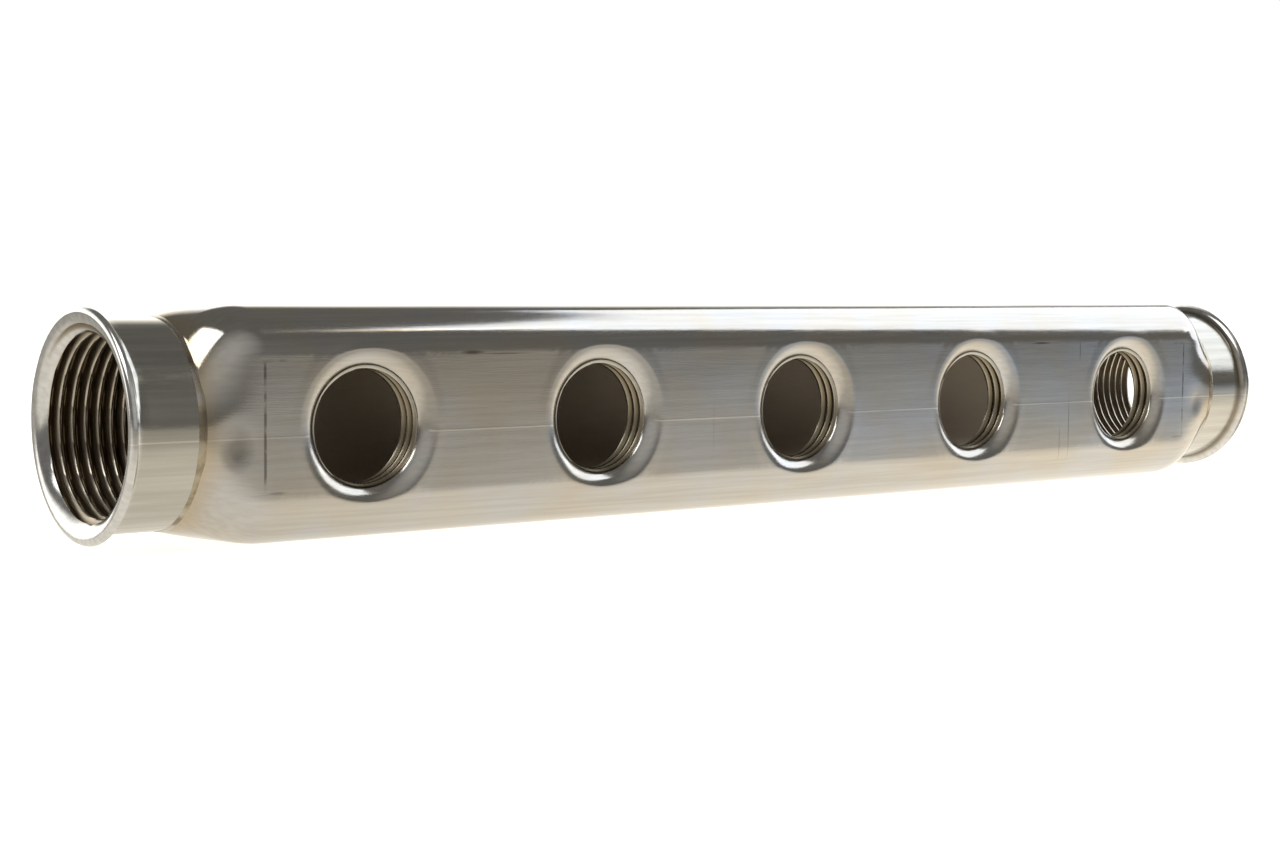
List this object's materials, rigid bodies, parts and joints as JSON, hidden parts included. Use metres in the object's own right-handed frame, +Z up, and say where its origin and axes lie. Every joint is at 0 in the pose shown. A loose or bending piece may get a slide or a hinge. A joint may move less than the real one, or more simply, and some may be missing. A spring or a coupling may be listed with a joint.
{
  "type": "distribution manifold bar",
  "caption": "Stainless steel distribution bar for heating circuits: a rounded box tube with a row of small threaded outlets and a flared, threaded socket at each end.",
  "frame": {"origin": "middle of the bar's axis, which is the middle of its bounding box", "axes": "+X along the bar, -Y out of the outlets, +Z up"},
  "size_m": [0.288, 0.0388, 0.0398],
  "materials": {
    "formed_stainless": "satin, drawn along its length",
    "turned_stainless": "satin, turned and threaded",
    "threaded_stainless": "as threaded",
    "weld_metal": "as welded, light heat tint"
  },
  "bodies": {
    "root": {"body_shell": "formed_stainless", "left_end_socket": "turned_stainless", "left_end_weld": "weld_metal", "right_end_socket": "turned_stainless", "right_end_weld": "weld_metal", "port_collar_1": "threaded_stainless", "port_collar_2": "threaded_stainless", "port_collar_3": "threaded_stainless", "port_collar_4": "threaded_stainless", "port_collar_5": "threaded_stainless", "port_weld_1": "weld_metal", "port_weld_2": "weld_metal", "port_weld_3": "weld_metal", "port_weld_4": "weld_metal", "port_weld_5": "weld_metal"}
  },
  "joints": []
}
